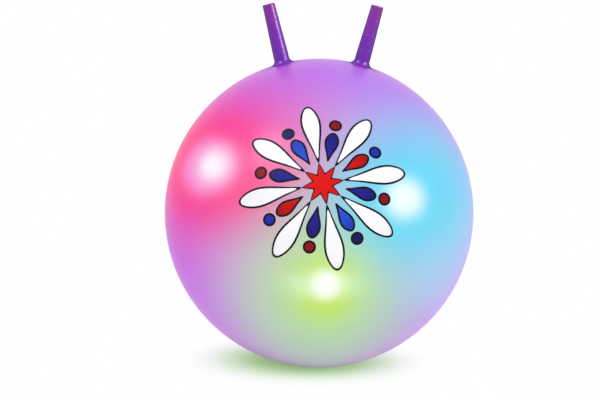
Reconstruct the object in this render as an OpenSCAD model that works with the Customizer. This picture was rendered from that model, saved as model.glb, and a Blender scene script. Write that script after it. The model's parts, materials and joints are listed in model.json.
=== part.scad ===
// Light-up hopper ball: an inflated vinyl ball that stands on the ground, with
// two hollow horns to hold, an air valve at the back, and three sealed light
// capsules in pockets on the inside of the skin. A spring switch in each capsule
// closes when the ball bounces, and its lamp then flashes through the skin.
//
// Millimetres, +Z up. The origin is on the ground under the middle of the ball,
// and the front of the ball faces -Y.

/* [Ball] */
// Diameter of the inflated ball
ball_d = 450; // [400:5:560]
// Thickness of the vinyl skin
skin_t = 1; // [0.8:0.1:1.6]
// Diameter of the flat patch on which the ball stands
patch_d = 70; // [50:1:90]

/* [Horns] */
// Angle of each horn from straight up
horn_lean = 14.5; // [12:0.5:24]
// Height of a horn's tip above the skin
horn_h = 87.5; // [84:0.5:120]
// Diameter of a horn at its tip
tip_d = 17.6; // [15:0.1:20]
// Diameter of a horn at its neck, where the grip meets the root
neck_d = 21.9; // [18:0.1:26]
// Thickness of a horn's wall
horn_t = 2.5; // [1.5:0.1:4]
// Thickness of a horn's closed tip, at its dish
tip_t = 3; // [2:0.1:6]
// Radius of the rounded rim of a tip
tip_round = 1.2; // [0.6:0.1:2]
// Width of the rim round the dish in a tip
tip_rim = 2.6; // [2.2:0.1:4]
// Depth of the dish in a tip
tip_dish = 0.8; // [0.3:0.1:1.5]
// Height of the flexible root above the skin
root_h = 14; // [10:0.5:18]
// Radius of the fillet that spreads a root over the skin
root_fillet = 8; // [4:0.5:10]
// Thickness of a root's rim on the skin
root_rim = 0.6; // [0.4:0.1:1]
// Number of moulded grip rings on a horn
ring_count = 3; // [1:1:3]
// Distance from the tip to the first grip ring, and from ring to ring
ring_pitch = 22; // [15:0.5:23]
// Width of a grip ring
ring_w = 3; // [2:0.1:4]
// Height of a grip ring above the horn
ring_rise = 0.4; // [0.2:0.1:0.8]

/* [Lights] */
// Turn of the red light from the front, to the right
red_turn = -46; // [-60:1:-35]
// Rise of the red light above the ball's middle
red_rise = 24; // [5:0.5:35]
// Turn of the blue light from the front, to the right
blue_turn = 32; // [25:1:60]
// Rise of the blue light above the ball's middle
blue_rise = 14.5; // [-5:0.5:30]
// Turn of the green light from the front, to the right
green_turn = 3; // [-15:1:20]
// Rise of the green light above the ball's middle
green_rise = -16.5; // [-40:0.5:-15]

/* [Pockets] */
// Diameter of the pocket's flange on the skin
flange_d = 56; // [48:1:70]
// Thickness of the pocket's vinyl
pocket_t = 1.2; // [0.8:0.1:2]
// Radius of the rounded edge at the bottom of a pocket
pocket_round = 3; // [2:0.1:4]

/* [Capsules] */
// Diameter of a light capsule
capsule_d = 36; // [36:0.5:42]
// Thickness of the capsule's lens and case
capsule_t = 2; // [1.6:0.1:2.2]
// Height of the lap joint between lens and case
lap_h = 2.5; // [1.5:0.1:4]
// Radius of the rounded edge at the bottom of a case
case_round = 2; // [1:0.1:2.5]
// Thickness of the circuit board
board_t = 1.2; // [0.8:0.1:1.6]
// Diameter of a screw boss
boss_d = 4.2; // [3.8:0.1:4.6]
// Thickness of the ribs that stand off the case wall
rib_t = 1.2; // [0.8:0.1:2]

/* [Electrics] */
// Diameter of a coin cell
cell_d = 20; // [18:0.1:20]
// Thickness of a coin cell
cell_h = 3.2; // [2.5:0.1:4]
// Height of the narrow cap of a coin cell
cell_cap_h = 0.6; // [0.3:0.1:1]
// Width of the step round the cap of a coin cell
cell_step = 1.1; // [0.6:0.1:2]
// Number of coin cells in a stack
cell_count = 2; // [1:1:3]
// Length of a leaf contact
leaf_len = 16; // [12:0.5:18]
// Width of a leaf contact
leaf_w = 5; // [3:0.1:6]
// Thickness of a leaf contact
leaf_t = 0.3; // [0.2:0.05:0.5]
// Height to which the middle of a leaf contact is sprung
leaf_rise = 0.5; // [0.3:0.05:1]
// Diameter of a lamp's bulb
led_d = 5; // [4:0.1:6]
// Height of a lamp above the circuit board
led_h = 8.7; // [8.5:0.1:10]
// Width of the flange round the foot of a lamp
led_flange_w = 0.4; // [0.2:0.1:0.6]
// Height of the flange round the foot of a lamp
led_flange_h = 1; // [0.6:0.1:1.5]
// Width of a lamp's square lead
lead_w = 0.5; // [0.4:0.05:0.6]
// Distance between a lamp's two leads
lead_pitch = 2.54; // [2:0.01:3]
// Diameter of the sealed chip
chip_d = 6.4; // [5:0.1:7]
// Height of the sealed chip
chip_h = 1.4; // [1:0.1:2]
// Distance of the chip and of the spring switch from the middle of the board
part_off = 9.5; // [8:0.1:10.5]
// Diameter of a screw's thread
screw_d = 2; // [1.6:0.1:2.2]
// Length of a screw under its head
screw_len = 6; // [4:0.1:7]
// Diameter of a screw's head
screw_head_d = 3.8; // [3:0.1:4.2]
// Height of a screw's head
screw_head_h = 1.3; // [0.8:0.1:1.8]

/* [Spring switch] */
// Diameter of the spring at the middle of its wire
spring_d = 3.2; // [2.6:0.1:3.6]
// Diameter of the spring's wire
wire_d = 0.3; // [0.2:0.05:0.4]
// Rise of the spring in each turn
spring_pitch = 0.85; // [0.8:0.01:0.88]
// Number of turns of the spring
spring_turns = 8; // [5:1:8]
// Diameter of the contact pin inside the spring
pin_d = 0.8; // [0.6:0.1:1]
// Height of the contact pin above its foot
pin_h = 6.5; // [5:0.1:7]
// Diameter of the switch's foot
foot_d = 4.8; // [4:0.1:5.2]
// Thickness of the switch's foot
foot_t = 0.8; // [0.5:0.1:1]

/* [Valve] */
// Rise of the valve above the ball's middle, at the back
valve_rise = -30; // [-45:1:-15]
// Diameter of the valve seat where it passes through the skin
seat_d = 20; // [18:0.5:24]
// Diameter of the seat's flange inside the skin
seat_flange_d = 34; // [30:0.5:40]
// Thickness of the seat's flange
seat_flange_t = 1.5; // [1:0.1:2.5]
// Depth of the seat from the outside of the skin
seat_depth = 18; // [16:0.5:24]
// Diameter of the valve's bore
bore_d = 8; // [6:0.1:9]
// Diameter of the plug's head
head_d = 13; // [12:0.1:14]
// Thickness of the plug's head
head_t = 1.8; // [1.2:0.1:2.4]
// Length of the plug's shank
shank_len = 13; // [10:0.5:14]
// Number of sealing ribs on the shank
shank_ribs = 3; // [2:1:4]
// Depth of the grooves between the sealing ribs
groove = 0.4; // [0.2:0.1:0.6]
// Radius of the nail notch beside the plug's head
notch_r = 4; // [3:0.1:4]

/* [Clearances] */
// Gap between a horn's root and the skin
weld_gap = 0.2; // [0.2:0.05:0.4]
// Gap for the glue between the skin and what is bonded inside it
glue_gap = 0.3; // [0.3:0.05:0.5]
// Gap between a capsule's lens and the skin
lens_gap = 0.4; // [0.3:0.05:0.8]
// Gap round pieces that drop into one another
fit_gap = 0.3; // [0.2:0.05:0.4]
// Gap round a shank, thread or lead in its hole
run_gap = 0.05; // [0.05:0.01:0.1]
// Gap over the tip of a lamp
led_room = 0.8; // [0.5:0.1:1.5]
// Gap under the spring, so that it can sway
sway_gap = 0.3; // [0.25:0.05:0.4]
// Gap between stacked cells
stack_gap = 0.1; // [0.05:0.05:0.2]

/* [Hidden] */
$fn = 128;
// Extra length by which a cut runs past the face that it opens
past = 2;
// Straight steps in each rounded stretch of a turned outline
steps = 8;

// Ball: where its middle and its walls are
ball_r = ball_d / 2;
inner_r = ball_r - skin_t;
patch_r = patch_d / 2;
centre_z = sqrt(ball_r * ball_r - patch_r * patch_r);

// Horn: radii, and heights above the skin
neck_r = neck_d / 2;
tip_r = tip_d / 2;
throat_r = neck_r - horn_t;
fillet_r = neck_r + root_fillet;
fillet_z = sqrt(pow(ball_r + root_rim + root_fillet, 2) - fillet_r * fillet_r);
rim_r = fillet_r * (ball_r + root_rim) / (ball_r + root_rim + root_fillet);

// Capsule: radii, and heights measured inwards from the inside of the skin
capsule_r = capsule_d / 2;
case_r = capsule_r - capsule_t;
lap_r = capsule_r - capsule_t / 2;
ceiling_z = -(lens_gap + capsule_t);
board_top = ceiling_z - led_room - led_h;
board_low = board_top - board_t;
leaf_h = leaf_rise + leaf_t;
stack_h = cell_count * cell_h + (cell_count - 1) * stack_gap;
stack_top = board_low - leaf_h;
stack_low = stack_top - stack_h;
floor_z = stack_low - leaf_h;
case_low = floor_z - capsule_t;
split_z = board_low;
board_r = case_r - fit_gap;
boss_off = cell_d / 2 + fit_gap + boss_d / 2;
pocket_r = capsule_r + fit_gap;
pocket_low = case_low - fit_gap;

// Valve: radii, and heights measured from the middle of the ball
bore_r = bore_d / 2;
recess_z = ball_r - head_t - glue_gap;
shank_r = bore_r - run_gap;

// The colour of each light, and where it shines through the skin
LIGHTS = [
    ["red", red_turn, red_rise, "red"],
    ["blue", blue_turn, blue_rise, "deepskyblue"],
    ["green", green_turn, green_rise, "yellowgreen"]
];
LIGHT_PIECES = [
    "pocket", "lens", "case", "circuit_board", "led", "chip",
    "switch_post", "switch_spring", "cells", "contacts", "screws"
];
SIDES = [["left", -1], ["right", 1]];

// Points along an arc round the point c, from one angle to another
function arc(c, r, from, to) =
    [for (i = [0:steps]) let (a = from + (to - from) * i / steps) c + r * [cos(a), sin(a)]];

// Radius of a horn at a height above the skin
function horn_r(h) = neck_r + (tip_r - neck_r) * (h - root_h) / (horn_h - root_h);

// Outline of one grip ring: a smooth swell on the horn's slope
function ring_outline(h) = [
    for (i = [-steps / 2:steps / 2])
        let (t = 2 * i / steps, at = h + t * ring_w / 2)
            [horn_r(at) + ring_rise * (1 + cos(180 * t)) / 2, ball_r + at]
];

// Rings of points in a turn of the switch spring, and sides of its wire
RINGS_A_TURN = 8;
WIRE_SIDES = 6;
// The middle line of the switch spring, and the least gap between its turns
function spring_point(i) =
    let (a = 360 * i / RINGS_A_TURN)
        [spring_d / 2 * cos(a), spring_d / 2 * sin(a), spring_pitch * i / RINGS_A_TURN];
SPRING_LINE = [for (i = [0:spring_turns * RINGS_A_TURN]) spring_point(i)];
spring_gap = min([
    for (i = [0:len(SPRING_LINE) - 1], j = [i + RINGS_A_TURN / 2:1:len(SPRING_LINE) - 1])
        norm(SPRING_LINE[i] - SPRING_LINE[j]) - wire_d
]);
echo(least_gap_between_spring_turns = spring_gap);

// Turns the children's +Z from the middle of the ball to a place on its skin
module at_direction(turn, rise) {
    translate([0, 0, centre_z])
        rotate([0, 0, turn])
            rotate([90 - rise, 0, 0])
                children();
}

// A horn's own frame: +Z along the horn, on one side (-1) or the other (1)
module at_horn(side) {
    at_direction(90 * side, 90 - horn_lean) children();
}

// The valve's own frame: +Z out of the back of the ball
module at_valve() {
    at_direction(180, valve_rise) children();
}

// A light's own frame: Z = 0 on the inside of the skin, and the ball's middle below
module at_light(light) {
    at_direction(light[1], light[2])
        translate([0, 0, inner_r])
            children();
}

// A ball as seen from a light's own frame
module ball_in_light_frame(r) {
    translate([0, 0, -inner_r]) sphere(r);
}

// A cylinder between two heights
module drum(r, low, high) {
    translate([0, 0, low]) cylinder(r = r, h = high - low);
}

// A sphere pressed flat on the ground at a height below its middle
module pressed_ball(r, ground) {
    intersection() {
        sphere(r);
        translate([-ball_d, -ball_d, ground]) cube([2 * ball_d, 2 * ball_d, 2 * ball_d]);
    }
}

// The inflated skin, open under the horns and round the valve seat
module ball_skin() {
    color("mediumorchid") difference() {
        translate([0, 0, centre_z]) difference() {
            pressed_ball(ball_r, -centre_z);
            pressed_ball(inner_r, skin_t - centre_z);
        }
        for (side = SIDES)
            at_horn(side[1]) drum(throat_r, inner_r - past, ball_r + past);
        at_valve() drum(seat_d / 2 + fit_gap, inner_r - past, ball_r + past);
    }
}

// The flexible root of a horn: a neck that spreads over the skin in a fillet
module horn_root() {
    weld_r = ball_r + weld_gap;
    color("darkorchid") rotate_extrude() polygon(concat(
        arc([0, 0], weld_r, acos(throat_r / weld_r), acos(rim_r / weld_r)),
        arc([fillet_r, fillet_z], root_fillet, 180 + atan2(fillet_z, fillet_r), 180),
        [[neck_r, ball_r + root_h], [throat_r, ball_r + root_h]]
    ));
}

// A hollow tapered horn with grip rings, a rounded rim and a dished tip
module horn() {
    top = ball_r + horn_h;
    color("rebeccapurple") rotate_extrude() polygon(concat(
        [[throat_r, ball_r + root_h], [neck_r, ball_r + root_h]],
        [for (i = [ring_count:-1:1]) each ring_outline(horn_h - i * ring_pitch)],
        arc([tip_r - tip_round, top - tip_round], tip_round, 0, 90),
        [
            [tip_r - tip_rim, top],
            [tip_r - tip_rim - tip_dish, top - tip_dish],
            [0, top - tip_dish],
            [0, top - tip_dish - tip_t],
            [tip_r - horn_t, top - tip_dish - tip_t]
        ]
    ));
}

// The bonded valve seat: a thick bored collar with a flange inside the skin
module valve_seat() {
    color("plum") difference() {
        union() {
            intersection() {
                drum(seat_d / 2, ball_r - seat_depth, ball_r + past);
                sphere(ball_r);
            }
            intersection() {
                drum(seat_flange_d / 2, ball_r - seat_depth, ball_r + past);
                difference() {
                    sphere(inner_r - glue_gap);
                    sphere(inner_r - glue_gap - seat_flange_t);
                }
            }
        }
        drum(bore_r, ball_r - seat_depth - past, ball_r + past);
        drum(head_d / 2 + fit_gap, recess_z, ball_r + past);
        translate([0, head_d / 2, recess_z + notch_r]) sphere(notch_r);
    }
}

// The push-in air plug: a rounded head on a ribbed shank with a tapered end
module valve_plug() {
    land = shank_len / (2 * shank_ribs + 1);
    end_r = shank_r - 2 * groove;
    color("white") rotate_extrude() polygon(concat(
        [[0, recess_z - shank_len], [end_r, recess_z - shank_len]],
        [
            for (i = [1:shank_ribs]) each [
                [shank_r - groove, recess_z - shank_len + (2 * i - 1) * land],
                [shank_r, recess_z - shank_len + (2 * i - 1) * land],
                [shank_r, recess_z - shank_len + 2 * i * land],
                [shank_r - groove, recess_z - shank_len + 2 * i * land]
            ]
        ],
        [[shank_r - groove, recess_z], [head_d / 2, recess_z]],
        arc([head_d / 2 - head_t / 2, recess_z + head_t / 2], head_t / 2, 0, 90),
        [[0, recess_z + head_t]]
    ));
}

// The vinyl pocket that holds a capsule against the skin
module pocket() {
    color("thistle") intersection() {
        ball_in_light_frame(inner_r - glue_gap);
        difference() {
            union() {
                difference() {
                    drum(flange_d / 2, case_low, past);
                    ball_in_light_frame(inner_r - glue_gap - pocket_t);
                }
                rotate_extrude() polygon(concat(
                    [[0, past], [0, pocket_low - pocket_t]],
                    arc(
                        [pocket_r + pocket_t - pocket_round, pocket_low - pocket_t + pocket_round],
                        pocket_round, 270, 360
                    ),
                    [[pocket_r + pocket_t, past]]
                ));
            }
            drum(pocket_r, pocket_low, past + 1);
        }
    }
}

// The clear lens, curved like the skin, with a half lap round its rim
module lens() {
    color("white", 0.5) difference() {
        intersection() {
            drum(capsule_r, split_z, past);
            ball_in_light_frame(inner_r - lens_gap);
        }
        intersection() {
            drum(case_r, split_z - past, past);
            ball_in_light_frame(inner_r - lens_gap - capsule_t);
        }
        drum(lap_r, split_z - past, split_z + lap_h);
    }
}

// The case: a cup with a lip for the lap joint, screw bosses and ribs round the cells
module case() {
    rib_in = cell_d / 2 + fit_gap;
    color("whitesmoke") difference() {
        union() {
            rotate_extrude() polygon(concat(
                [[0, floor_z], [0, case_low]],
                arc([capsule_r - case_round, case_low + case_round], case_round, 270, 360),
                [
                    [capsule_r, split_z],
                    [lap_r - run_gap, split_z],
                    [lap_r - run_gap, split_z + lap_h - fit_gap],
                    [case_r, split_z + lap_h - fit_gap],
                    [case_r, floor_z]
                ]
            ));
            for (turn = [0, 180]) rotate([0, 0, turn]) {
                translate([0, boss_off, 0]) drum(boss_d / 2, floor_z - capsule_t / 2, board_low);
                translate([-rib_t / 2, boss_off, floor_z - capsule_t / 2])
                    cube([rib_t, case_r + capsule_t / 4 - boss_off, board_low - leaf_h - floor_z]);
                translate([rib_in, -rib_t / 2, floor_z - capsule_t / 2])
                    cube([case_r + capsule_t / 4 - rib_in, rib_t, stack_h]);
            }
        }
        for (turn = [0, 180]) rotate([0, 0, turn])
            translate([0, boss_off, 0])
                drum(screw_d / 2 + run_gap, board_low - screw_len, board_low + past);
    }
}

// The round board, drilled for its screws and for the lamp's leads
module circuit_board() {
    color("seagreen") difference() {
        drum(board_r, board_low, board_top);
        for (turn = [0, 180]) rotate([0, 0, turn]) {
            translate([0, boss_off, 0])
                drum(screw_d / 2 + 2 * run_gap, board_low - past, board_top + past);
            translate([lead_pitch / 2, 0, 0])
                drum(lead_w / sqrt(2) + run_gap, board_low - past, board_top + past);
        }
    }
}

// The lamp: a domed bulb on a flange, with two leads in the board
module led(tint) {
    bulb_r = led_d / 2;
    color(tint) union() {
        rotate_extrude() polygon(concat(
            [
                [0, board_top],
                [bulb_r + led_flange_w, board_top],
                [bulb_r + led_flange_w, board_top + led_flange_h],
                [bulb_r, board_top + led_flange_h]
            ],
            arc([0, board_top + led_h - bulb_r], bulb_r, 0, 90)
        ));
        for (turn = [0, 180]) rotate([0, 0, turn])
            translate([lead_pitch / 2 - lead_w / 2, -lead_w / 2, board_low])
                cube([lead_w, lead_w, board_t + led_flange_h / 2]);
    }
}

// The chip under its drop of black resin
module chip() {
    drop_r = (chip_d * chip_d / 4 + chip_h * chip_h) / (2 * chip_h);
    color("black") translate([part_off, 0, board_top]) intersection() {
        translate([0, 0, chip_h - drop_r]) sphere(drop_r);
        drum(chip_d / 2, 0, chip_h + past);
    }
}

// The fixed contact of the spring switch: a pin on a round foot
module switch_post() {
    color("goldenrod") translate([-part_off, 0, board_top]) union() {
        drum(foot_d / 2, 0, foot_t);
        drum(pin_d / 2, 0, foot_t + pin_h);
    }
}

// The moving contact of the spring switch: wire wound round the pin without touching it
module switch_spring() {
    last = len(SPRING_LINE) - 1;
    points = [
        for (i = [0:last], k = [0:WIRE_SIDES - 1])
            let (
                a = 360 * i / RINGS_A_TURN,
                b = 360 * k / WIRE_SIDES,
                out = wire_d / 2 * cos(b)
            )
                SPRING_LINE[i] + [out * cos(a), out * sin(a), wire_d / 2 * sin(b)]
    ];
    walls = [
        for (i = [0:last - 1], k = [0:WIRE_SIDES - 1])
            let (a = i * WIRE_SIDES + k, b = i * WIRE_SIDES + (k + 1) % WIRE_SIDES)
                each [[a, b, b + WIRE_SIDES], [a, b + WIRE_SIDES, a + WIRE_SIDES]]
    ];
    caps = [
        [for (k = [WIRE_SIDES - 1:-1:0]) k],
        [for (k = [0:WIRE_SIDES - 1]) last * WIRE_SIDES + k]
    ];
    color("silver")
        translate([-part_off, 0, board_top + foot_t + sway_gap + wire_d / 2])
            polyhedron(points, concat(walls, caps));
}

// A stack of coin cells, each a can with a narrower cap below it
module cells() {
    color("lightgray") for (i = [0:cell_count - 1])
        translate([0, 0, stack_low + i * (cell_h + stack_gap)]) union() {
            drum(cell_d / 2 - cell_step, 0, cell_h);
            drum(cell_d / 2, cell_cap_h, cell_h);
        }
}

// One leaf contact: a strip sprung up in the middle, its ends on the plane Z = 0
module leaf() {
    half = leaf_len / 2;
    foot = half * 0.6;
    crown = half * 0.25;
    rotate([90, 0, 0]) linear_extrude(height = leaf_w, center = true) polygon([
        [-half, 0], [-foot, 0], [-crown, leaf_rise],
        [crown, leaf_rise], [foot, 0], [half, 0],
        [half, leaf_t], [foot, leaf_t], [crown, leaf_h],
        [-crown, leaf_h], [-foot, leaf_t], [-half, leaf_t]
    ]);
}

// The two leaf contacts, on the case's floor and under the board
module contacts() {
    color("gold") {
        translate([0, 0, floor_z]) leaf();
        translate([0, 0, board_low]) mirror([0, 0, 1]) leaf();
    }
}

// The two screws that hold the board on its bosses
module screws() {
    color("gray") for (turn = [0, 180]) rotate([0, 0, turn])
        translate([0, boss_off, board_top]) union() {
            drum(screw_head_d / 2, 0, screw_head_h);
            drum(screw_d / 2, -screw_len, screw_head_h / 2);
        }
}

ball_skin();
at_valve() valve_seat();
at_valve() valve_plug();
for (side = SIDES) {
    at_horn(side[1]) horn_root();
    at_horn(side[1]) horn();
}
for (light = LIGHTS) {
    at_light(light) pocket();
    at_light(light) lens();
    at_light(light) case();
    at_light(light) circuit_board();
    at_light(light) led(light[3]);
    at_light(light) chip();
    at_light(light) switch_post();
    at_light(light) switch_spring();
    at_light(light) cells();
    at_light(light) contacts();
    at_light(light) screws();
}
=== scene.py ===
"""Dresses the light-up hopper ball: glowing vinyl, two horns, a printed burst and an air valve."""

import json
import logging
import math
from dataclasses import dataclass
from enum import Enum
from functools import partial
from itertools import cycle

import bpy
import numpy as np
from mathutils import Matrix, Vector


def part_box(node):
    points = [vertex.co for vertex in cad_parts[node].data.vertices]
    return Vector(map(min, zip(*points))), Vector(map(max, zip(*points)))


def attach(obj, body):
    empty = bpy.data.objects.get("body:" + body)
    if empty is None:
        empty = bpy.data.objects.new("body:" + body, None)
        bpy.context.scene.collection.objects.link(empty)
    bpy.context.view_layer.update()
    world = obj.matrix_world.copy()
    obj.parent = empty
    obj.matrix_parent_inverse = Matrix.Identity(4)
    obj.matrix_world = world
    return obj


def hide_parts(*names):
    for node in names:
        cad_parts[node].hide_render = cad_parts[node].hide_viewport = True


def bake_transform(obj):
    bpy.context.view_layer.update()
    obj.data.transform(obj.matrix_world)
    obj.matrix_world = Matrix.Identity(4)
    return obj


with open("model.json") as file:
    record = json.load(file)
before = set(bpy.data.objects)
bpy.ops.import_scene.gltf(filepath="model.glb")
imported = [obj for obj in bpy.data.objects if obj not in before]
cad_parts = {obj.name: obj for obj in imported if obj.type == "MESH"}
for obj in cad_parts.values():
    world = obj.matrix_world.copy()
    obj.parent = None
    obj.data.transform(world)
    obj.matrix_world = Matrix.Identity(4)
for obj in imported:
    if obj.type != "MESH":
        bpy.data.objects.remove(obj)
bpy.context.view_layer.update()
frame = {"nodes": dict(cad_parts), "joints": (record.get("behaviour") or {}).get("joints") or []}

LOG = logging.getLogger("hopper_ball")

Array = np.ndarray
Colour = tuple[float, float, float]
Point = tuple[float, float, float]
Span = tuple[float, float]
Material = bpy.types.Material
Object = bpy.types.Object
Socket = bpy.types.NodeSocket

MM = 0.001
BALL_RADIUS = 225 * MM
PATCH_RADIUS = 35 * MM
BALL_CENTRE = np.array([0.0, 0.0, math.sqrt(BALL_RADIUS**2 - PATCH_RADIUS**2)])
RIGHT = np.array([1.0, 0.0, 0.0])
FRONT = np.array([0.0, -1.0, 0.0])
UP = np.array([0.0, 0.0, 1.0])
WHITE: Colour = (1.0, 1.0, 1.0)

# Finer layers that are added to a noise.
FEW_LAYERS = 2.0
SOME_LAYERS = 3.0
MANY_LAYERS = 4.0


class Side(Enum):
    """The side of the ball that a horn is on, as the viewer sees it."""

    LEFT = "left"
    RIGHT = "right"


class Lamp(Enum):
    """The three lamps inside the ball, by colour."""

    RED = "red"
    BLUE = "blue"
    GREEN = "green"


class Ink(Enum):
    """The inks of the print, by colour."""

    BLACK = "black"
    WHITE = "white"
    RED = "red"
    NAVY = "navy"
    BLUE = "blue"


class Shine(Enum):
    """What a studio lamp does: spread a soft light, or show as a highlight in glossy surfaces."""

    SOFT = "soft"
    HIGHLIGHT = "highlight"


def joint(name: str) -> dict:
    """Finds a joint's entry in the frame by the joint's name."""
    return next(entry for entry in frame["joints"] if entry["name"] == name)


def unit(vector: Array) -> Array:
    """Scales a vector to length one."""
    return vector / np.linalg.norm(vector)


def square_to(axis: Array, near: Array) -> tuple[Array, Array]:
    """Finds two directions that are square to an axis and to each other.

    Args:
        axis: A unit vector.
        near: A vector that the second direction leans towards.

    Returns:
        Two unit vectors which, with the axis, form a right-handed set.
    """
    second = unit(near - axis * (near @ axis))
    first = np.cross(second, axis)
    return first, second


def heading(turn: float, rise: float) -> Array:
    """Direction at one angle to the right of the front and another above level, in radians."""
    level = math.sin(turn) * RIGHT + math.cos(turn) * FRONT
    return math.cos(rise) * level + math.sin(rise) * UP


def horn_axis(side: Side) -> Array:
    """Direction of a horn, from the ball's middle through the joint in its root."""
    return unit(np.array(joint(f"{side.value}_horn_flex")["pos_m"]) - BALL_CENTRE)


def lamp_direction(lamp: Lamp) -> Array:
    """Direction from the ball's middle through a lamp of the frame."""
    low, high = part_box(f"{lamp.value}_led")
    return unit((np.array(low) + np.array(high)) / 2 - BALL_CENTRE)


def full_turn(count: int) -> Array:
    """Angles at even steps round a full turn."""
    return np.linspace(0.0, math.tau, count, endpoint=False)


def pairs(first: Array, second: Array) -> Array:
    """Sets two rows of numbers side by side, one pair a row."""
    return np.stack([first, second], axis=-1)


def smooth_step(value: Array) -> Array:
    """Eases from 0 to 1 by 3 t^2 - 2 t^3, with t held between 0 and 1."""
    held = np.clip(value, 0.0, 1.0)
    return held * held * (3.0 - 2.0 * held)


def turned(profile: Array, axis: Array, near: Array, around: int) -> Array:
    """Turns a profile round an axis through the ball's middle.

    A profile point (r, h) goes to middle + h * axis + r * (cos a * e1 + sin a * e2), for
    each angle a of a full turn.

    Args:
        profile: Radii and heights, one pair a row.
        axis: The axis as a unit vector.
        near: A vector that the second direction square to the axis leans towards.
        around: Points in a turn.

    Returns:
        The rows of points.
    """
    first, second = square_to(axis, near)
    angle = full_turn(around)
    spoke = np.cos(angle)[:, None] * first + np.sin(angle)[:, None] * second
    return BALL_CENTRE + profile[:, None, 1:2] * axis + profile[:, None, 0:1] * spoke


def pressed(points: Array, softness: float = 0.6 * MM) -> Array:
    """Presses points flat on the ground.

    The height z becomes (z + sqrt(z * z + s * s)) / 2 less its value at the patch's
    middle, which leaves high points alone and brings low ones to the ground.

    Args:
        points: Points as an array whose last axis holds x, y and z.
        softness: The height s over which the bend at the patch's edge is spread.

    Returns:
        The pressed points.
    """
    flat = points.copy()
    height = points[..., 2]
    deepest = BALL_CENTRE[2] - BALL_RADIUS
    rest = (deepest + math.hypot(deepest, softness)) / 2
    flat[..., 2] = np.maximum((height + np.hypot(height, softness)) / 2 - rest, 0.0)
    return flat


@dataclass(frozen=True)
class Grid:
    """A closed surface given as rows of points, each row a ring.

    The first and last rows have shrunk to a point, and each becomes one vertex.
    """

    rows: Array

    def arrays(self) -> tuple[Array, list[Array]]:
        """Works out the vertices and the outward faces.

        Returns:
            The vertices, and the faces by their indices: the four-sided ones and each pole's.
        """
        rings = self.rows[1:-1]
        count, around = rings.shape[:2]
        index = np.arange(count * around).reshape(count, around)
        following = np.roll(index, -1, axis=1)
        sides = np.stack([index[:-1], following[:-1], following[1:], index[1:]], axis=-1).reshape(-1, 4)
        start = np.full(around, count * around)
        first_cap = np.stack([start, following[0], index[0]], axis=-1)
        last_cap = np.stack([start + 1, index[-1], following[-1]], axis=-1)
        poles = self.rows[[0, -1]].mean(axis=1)
        return np.concatenate([rings.reshape(-1, 3), poles]), [sides, first_cap, last_cap]


def make_piece(name: str, grids: list[Grid]) -> Object:
    """Makes one smooth mesh object from several grids.

    Args:
        name: The piece's name.
        grids: The surfaces that the piece is made of.

    Returns:
        The object, at the origin and linked to the scene.
    """
    vertices: list[Array] = []
    faces: list[list[int]] = []
    offset = 0
    for grid in grids:
        points, polygons = grid.arrays()
        vertices.append(points)
        for block in polygons:
            faces += (block + offset).tolist()
        offset += len(points)
    mesh = bpy.data.meshes.new(name)
    mesh.from_pydata(np.concatenate(vertices).tolist(), [], faces)
    mesh.polygons.foreach_set("use_smooth", np.ones(len(mesh.polygons), dtype=bool))
    mesh.update()
    piece = bpy.data.objects.new(name, mesh)
    bpy.context.scene.collection.objects.link(piece)
    return piece


@dataclass(frozen=True)
class Mottle:
    """Darker and paler patches: their size, and the least and the greatest brightness."""

    size: float
    least: float
    most: float


@dataclass(frozen=True)
class Relief:
    """A fine relief: the size of its features, its depth and the share of it that shows."""

    size: float
    depth: float
    shown: float


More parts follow.
